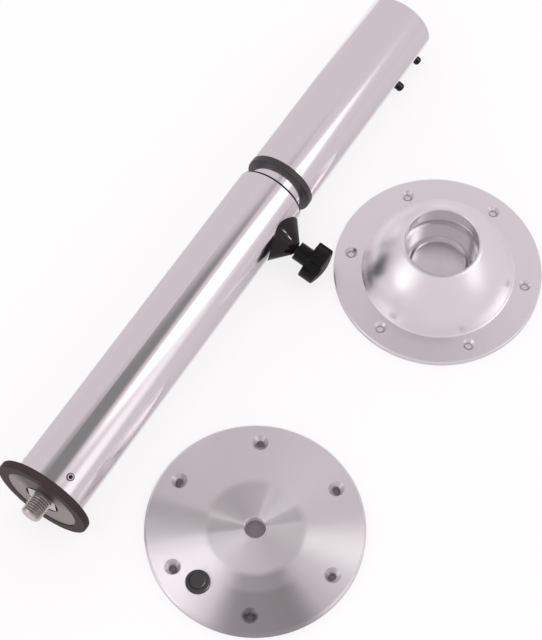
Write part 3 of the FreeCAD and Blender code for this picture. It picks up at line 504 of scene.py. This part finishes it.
def moulded_black(name, base, roughness, gloss, grain):
    """Moulded nylon: black, from satin to wet gloss, over a slight moulding grain."""
    made, tree, shader = new_material(name, base, 0.0, roughness, gloss)
    surface_grain(tree, shader, object_place(tree, COLUMN_FOOT), grain,
                  rough=(roughness - ROUGH_SWING, roughness + ROUGH_SWING), bump=0.06)
    return made


def natural_acetal(name):
    """Turned acetal: milky white, a little see-through under the skin, and satin."""
    made, tree, shader = new_material(name, "#E9E7E0", 0.0, 0.4)
    surface_grain(tree, shader, object_place(tree, COLUMN_FOOT), ACETAL_GRAIN,
                  rough=(0.32, 0.48))
    return made


# Shapes that stand for CAD nodes

def dress(mesh, material):
    mesh.materials.clear()
    mesh.materials.append(material)


def stand_for(node, mesh, rider, crease):
    """Shows a finished mesh in place of a CAD node."""
    mesh.shade_smooth()
    mesh.set_sharp_from_angle(angle=math.radians(crease))
    made = shown(mesh.name, mesh)
    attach(made, rider)
    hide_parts(node)


def threaded_stud(material):
    """The stud with its V thread. Rows of points wind round it and are cut off square, and a
    chamfer limits them at the open end."""
    steps, rows_per_turn, weld = 48, 10, 2e-6
    shape = bmesh.new()
    root = STUD_RADIUS - THREAD_DEPTH * STUD_PITCH
    turns = round(STUD_OUT / STUD_PITCH) + 2
    rows = []
    for step in range(steps + 1):
        around = 2 * math.pi * step / steps
        profile = [(-STUD_OUT, 0.0)]
        for count in range(turns * rows_per_turn + 1):
            share = count % rows_per_turn / rows_per_turn
            rise = min(1, max(0, THREAD_CREST - abs(share - 0.5) * THREAD_FLANK))
            along = STUD_PITCH * (count / rows_per_turn + step / steps - 1) - STUD_OUT
            held = min(max(along, -STUD_OUT), 0.0)
            radius = min(root + (STUD_RADIUS - root) * rise,
                         STUD_RADIUS - STUD_CHAMFER + held + STUD_OUT)
            profile.append((held, STUD_SHANK if held < along else radius))
        profile += [(STUD_IN - STUD_CHAMFER, STUD_SHANK),
                    (STUD_IN, STUD_SHANK - STUD_CHAMFER), (STUD_IN, 0.0)]
        rows.append([shape.verts.new((along, radius * math.sin(around),
                                      radius * math.cos(around)))
                     for along, radius in profile])
    for left, right in zip(rows, rows[1:]):
        for first in range(len(left) - 1):
            shape.faces.new((left[first], left[first + 1], right[first + 1], right[first]))
    bmesh.ops.remove_doubles(shape, verts=shape.verts, dist=weld)
    bmesh.ops.dissolve_degenerate(shape, edges=shape.edges, dist=weld)
    bmesh.ops.recalc_face_normals(shape, faces=shape.faces)
    turned = Matrix((COLUMN_AXIS, COLUMN_UP.cross(COLUMN_AXIS), COLUMN_UP)).transposed()
    bmesh.ops.transform(shape, matrix=Matrix.Translation(COLUMN_FOOT) @ turned.to_4x4(),
                        verts=shape.verts)
    mesh = bpy.data.meshes.new("stud_thread")
    shape.to_mesh(mesh)
    shape.free()
    dress(mesh, material)
    stand_for("threaded_stud", mesh, "base", crease=38)


def eased_knob(material):
    """The knob with its moulded edges eased, so that they catch the light."""
    weld, flat, hard = 1e-6, math.radians(1), math.radians(35)
    shape = bmesh.new()
    shape.from_mesh(frame["nodes"]["knob_grip"].data)
    bmesh.ops.remove_doubles(shape, verts=shape.verts, dist=weld)
    bmesh.ops.dissolve_limit(shape, angle_limit=flat, verts=shape.verts, edges=shape.edges)
    sharp = [edge for edge in shape.edges
             if len(edge.link_faces) == 2 and edge.calc_face_angle() > hard]
    bmesh.ops.bevel(shape, geom=sharp, offset=KNOB_EASE, offset_type="OFFSET", segments=2,
                    profile=0.5, affect="EDGES", material=-1, clamp_overlap=True)
    bmesh.ops.recalc_face_normals(shape, faces=shape.faces)
    mesh = bpy.data.meshes.new("eased_knob")
    shape.to_mesh(mesh)
    shape.free()
    if "custom_normal" in mesh.attributes:
        mesh.attributes.remove(mesh.attributes["custom_normal"])
    dress(mesh, material)
    stand_for("knob_grip", mesh, "knob", crease=40)


def bending_spring(material):
    """The latch spring, as a copy of its CAD node in its place."""
    mesh = frame["nodes"]["latch_spring"].data.copy()
    mesh.name = "bending_spring"
    dress(mesh, material)
    made = shown("bending_spring", mesh)
    made.matrix_world = frame["nodes"]["latch_spring"].matrix_world
    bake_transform(made)
    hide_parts("latch_spring")


def dress_nodes():
    tube = polished_aluminium("polished_aluminium")
    plate = turned_aluminium("turned_aluminium", middle("floor_plate"), roughness=0.36,
                             anisotropy=0.9, holes=PLATE_HOLES, lean=PLATE_LEAN,
                             fans=PLATE_PAINTED_FANS, thread=PLATE_THREAD)
    dome = turned_aluminium("satin_turned_aluminium", middle("table_socket"), roughness=0.33,
                            anisotropy=0.3, holes=SOCKET_HOLES, bore=SOCKET_BORE)
    face = foot_face("dull_turned_aluminium")
    screw = set_screw_steel("black_steel_painted_ring")
    steel = bright_steel("bright_steel")
    dark = dark_steel("dark_steel")
    # Foot ring: a brown-grey base, partly the rubber's own cast and partly the pale sheen of its
    # rim, painted.
    ring = black_rubber("foot_rubber_painted_sheen", "#46393C", gloss=0.02)
    cap = black_rubber("brown_black_rubber", "#221D1E", gloss=0.5)
    # Collar: a lighter brown-black, partly the rubber's own brown cast and partly a painted
    # sheen.
    collar = black_rubber("collar_rubber_painted_sheen", "#3A3031", gloss=0.55)
    satin = moulded_black("satin_black_nylon", "#0C0B0C", roughness=0.34, gloss=0.2,
                          grain=SATIN_NYLON_GRAIN)
    gloss = moulded_black("gloss_black_nylon", "#0E0809", roughness=0.1, gloss=0.3,
                          grain=GLOSS_NYLON_GRAIN)
    acetal = natural_acetal("natural_acetal")
    for node, material in (
            ("floor_plate", plate), ("hole_plug", cap), ("table_socket", dome),
            ("foot_ring", ring), ("lower_tube", tube), ("foot_plug", face),
            ("threaded_stud", steel), ("stud_locknut", steel), ("foot_set_screws", screw),
            ("top_guide_bush", satin), ("clamp_boss", gloss), ("threaded_bush", steel),
            ("clamp_pad", satin), ("clamp_screw", dark), ("knob_grip", satin),
            ("lower_glider", acetal), ("inner_tube", tube), ("glider_circlips", steel),
            ("stage_collar", collar), ("spacer_sleeve", acetal), ("upper_tube", tube),
            ("top_end_plug", tube), ("latch_spring", steel), ("lock_stud", gloss),
            ("release_button", gloss)):
        dress(frame["nodes"][node].data, material)
    threaded_stud(steel)
    eased_knob(satin)
    bending_spring(steel)


# Camera, room and lights

def aim_camera():
    azimuth, elevation, roll = (math.radians(a) for a in
                                (VIEW_AZIMUTH, VIEW_ELEVATION, VIEW_ROLL))
    back = Vector((math.sin(azimuth) * math.cos(elevation),
                   -math.cos(azimuth) * math.cos(elevation), math.sin(elevation)))
    right = Vector((math.cos(azimuth), math.sin(azimuth), 0))
    up = back.cross(right)
    right, up = (right * math.cos(roll) + up * math.sin(roll),
                 up * math.cos(roll) - right * math.sin(roll))
    target = Vector((COLUMN_FOOT.x + AIM_ALONG, COLUMN_FOOT.y + AIM_OUT, 0))
    camera = shown("camera", bpy.data.cameras.new("camera"))
    camera.data.sensor_width = SENSOR_MM
    camera.data.lens = SENSOR_MM * FOCAL_PIXELS / PHOTO_HEIGHT
    camera.matrix_world = Matrix.Translation(target + back * VIEW_DISTANCE) @ Matrix(
        (right, up, back)).transposed().to_4x4()
    bpy.context.scene.camera = camera


def light_room():
    """Even white light on matt surfaces, and a plain grey room with soft lights to metal."""
    world = bpy.data.worlds.new("studio")
    world.use_nodes = True
    tree = world.node_tree
    way = add(tree, "ShaderNodeTexCoord").outputs["Generated"]
    room = add(tree, "ShaderNodeRGB").outputs[0]
    room.default_value = linear(ROOM_GREY)
    for azimuth, elevation, full, faded, strength in FAR_LIGHTS:
        share = cone_share(tree, way, direction(azimuth, elevation), full, faded)
        room = add(tree, "ShaderNodeMix",
                   {"Factor": share, 6: room,
                    7: (strength, LIGHT_GREEN * strength, strength, 1)},
                   data_type="RGBA").outputs[2]
    in_metal = add(tree, "ShaderNodeLightPath").outputs["Is Glossy Ray"]
    seen = add(tree, "ShaderNodeMix", {"Factor": in_metal, 6: (1, 1, 1, 1), 7: room},
               data_type="RGBA")
    connect(tree, tree.nodes["Background"], {"Color": seen.outputs[2]})
    bpy.context.scene.world = world


def sheet(name, material, sides, place):
    """Flat sheet, for the studio only."""
    shape = bmesh.new()
    bmesh.ops.create_grid(shape, x_segments=1, y_segments=1, size=0.5)
    bmesh.ops.transform(shape, matrix=Matrix.Translation(place) @ Matrix.Diagonal((*sides, 1, 1)),
                        verts=shape.verts)
    mesh = bpy.data.meshes.new(name)
    shape.to_mesh(mesh)
    shape.free()
    dress(mesh, material)
    made = shown(name, mesh)
    return made


def card(name, corners, height, strength, soft):
    """Flat studio card with soft edges, which only reflections see."""
    material, tree = bare_material(name)
    place = object_place(tree, COLUMN_FOOT)
    share = 1.0
    for (ax, ay), (bx, by), width in zip(corners, corners[1:] + corners[:1], soft):
        length = math.hypot(bx - ax, by - ay)
        inward = (-(by - ay) / length, (bx - ax) / length, 0)
        edge = ax * inward[0] + ay * inward[1]
        depth = add(tree, "ShaderNodeVectorMath", {0: place, 1: inward},
                    operation="DOT_PRODUCT").outputs["Value"]
        rising = add(tree, "ShaderNodeMapRange",
                     {"Value": depth, "From Min": edge, "From Max": edge + width},
                     interpolation_type="SMOOTHSTEP")
        share = add(tree, "ShaderNodeMath", {0: rising, 1: share}, operation="MULTIPLY")
    glow = add(tree, "ShaderNodeEmission", {"Color": CARD_LIGHT, "Strength": strength})
    clear = add(tree, "ShaderNodeBsdfTransparent")
    mixed = add(tree, "ShaderNodeMixShader", {0: share, 1: clear, 2: glow})
    add(tree, "ShaderNodeOutputMaterial", {"Surface": mixed})
    low = [min(corner[i] for corner in corners) - CARD_RIM for i in (0, 1)]
    high = [max(corner[i] for corner in corners) + CARD_RIM for i in (0, 1)]
    made = sheet(name, material, (high[0] - low[0], high[1] - low[1]),
                 (COLUMN_FOOT.x + (low[0] + high[0]) / 2,
                  COLUMN_FOOT.y + (low[1] + high[1]) / 2, height))
    made.visible_camera = False
    made.visible_diffuse = False
    made.visible_shadow = False


def mirrored_strength(tree):
    """How strongly metal mirrors the floor: in full beside the column and behind its upper
    end, and more weakly elsewhere."""
    parts = add(tree, "ShaderNodeSeparateXYZ", {0: object_place(tree, COLUMN_FOOT)}).outputs
    front, back = (
        add(tree, "ShaderNodeMapRange",
            {"Value": parts["Y"], "From Min": first, "From Max": last, "To Min": low,
             "To Max": high}, interpolation_type="SMOOTHSTEP")
        for (first, last), low, high in ((STRIP_FRONT, FLOOR_MIRRORED, 1),
                                         (STRIP_BACK, 1, FLOOR_MIRRORED)))
    strip = add(tree, "ShaderNodeMath", {0: front, 1: back}, operation="MULTIPLY")
    aside = add(tree, "ShaderNodeMath", {0: parts["Y"], 1: SLANT}, operation="MULTIPLY")
    slanted = add(tree, "ShaderNodeMath", {0: parts["X"], 1: aside}, operation="SUBTRACT")
    past = add(tree, "ShaderNodeMapRange",
               {"Value": slanted, "From Min": SLANT_FROM[0], "From Max": SLANT_FROM[1]},
               interpolation_type="SMOOTHSTEP")
    beyond = add(tree, "ShaderNodeMapRange", {"Value": parts["Y"], "From Min": BEHIND_FROM[0],
                                              "From Max": BEHIND_FROM[1]})
    behind = add(tree, "ShaderNodeMath", {0: beyond, 1: past}, operation="MULTIPLY")
    return add(tree, "ShaderNodeMath", {0: strip, 1: behind}, operation="MAXIMUM")


def lay_floor():
    """Pale floor. It looks white, and metal mirrors it more weakly in some places."""
    material, tree = bare_material("pale_floor")
    path = add(tree, "ShaderNodeLightPath").outputs
    bounced = add(tree, "ShaderNodeMath", {0: path["Is Glossy Ray"],
                                           1: path["Is Transmission Ray"]},
                  operation="MAXIMUM")
    mirrored = add(tree, "ShaderNodeMath", {0: bounced, 1: mirrored_strength(tree)},
                   operation="MULTIPLY")
    seen = add(tree, "ShaderNodeMath", {0: path["Is Camera Ray"], 1: mirrored},
               operation="MAXIMUM")
    glow_left = FLOOR_GLOW
    # Painted shade: less glow under each disc, seen through its holes.
    for node, share in GLOW_UNDER:
        _, away = flat_place(tree, object_place(tree, middle(node)))
        beside = add(tree, "ShaderNodeMapRange",
                     {"Value": away, "From Min": DISC_RADIUS - GLOW_EDGE[0],
                      "From Max": DISC_RADIUS - GLOW_EDGE[1], "To Min": share})
        glow_left = add(tree, "ShaderNodeMath", {0: glow_left, 1: beside},
                        operation="MULTIPLY")
    matt = add(tree, "ShaderNodeBsdfDiffuse", {"Color": linear(FLOOR_MATT)})
    weak = add(tree, "ShaderNodeBsdfDiffuse", {"Color": FLOOR_SHADED})
    glow = add(tree, "ShaderNodeEmission", {"Color": FLOOR_LIGHT, "Strength": glow_left})
    bright = add(tree, "ShaderNodeAddShader", {0: weak, 1: glow})
    mixed = add(tree, "ShaderNodeMixShader", {0: seen, 1: matt, 2: bright})
    add(tree, "ShaderNodeOutputMaterial", {"Surface": mixed})
    sheet("floor", material, (FLOOR_SIDE, FLOOR_SIDE), (0, 0, 0))


def lamp_on(name, kind, pieces, azimuth, elevation, spot=(0, 0, 0), distance=0.0):
    """Lamp that lights only the named pieces, seen from a spot in the given direction."""
    made = shown(name, bpy.data.lights.new(name, kind))
    towards = direction(azimuth, elevation)
    made.location = Vector(spot) + towards * distance
    made.rotation_euler = towards.to_track_quat("Z", "Y").to_euler()
    made.visible_camera = False
    lit = bpy.data.collections.new("lit_by_" + name)
    for piece in pieces:
        lit.objects.link(piece)
    made.light_linking.receiver_collection = lit
    return made.data


def add_sparks():
    """Small bright lamps on the moulded parts alone, for the glints in their gloss."""
    moulded = [frame["nodes"][node]
               for node in ("clamp_boss", "hole_plug", "lock_stud", "release_button")]
    azimuth, elevation, size, strength = SPARK
    sun = lamp_on("spark", "SUN", moulded, azimuth, elevation)
    sun.angle = math.radians(size)
    sun.energy = strength
    for name, outline, azimuth, elevation, spot, width, length, power in GLINTS:
        lamp = lamp_on(name, "AREA", moulded[:1], azimuth, elevation, spot, GLINT_DISTANCE)
        lamp.energy = power
        lamp.shape = outline
        lamp.size = width
        lamp.size_y = length


bpy.context.scene.view_settings.view_transform = "Standard"
dress_nodes()
lay_floor()
light_room()
add_sparks()
card("dark_flag", *DARK_FLAG)
card("soft_box", *SOFT_BOX)
aim_camera()
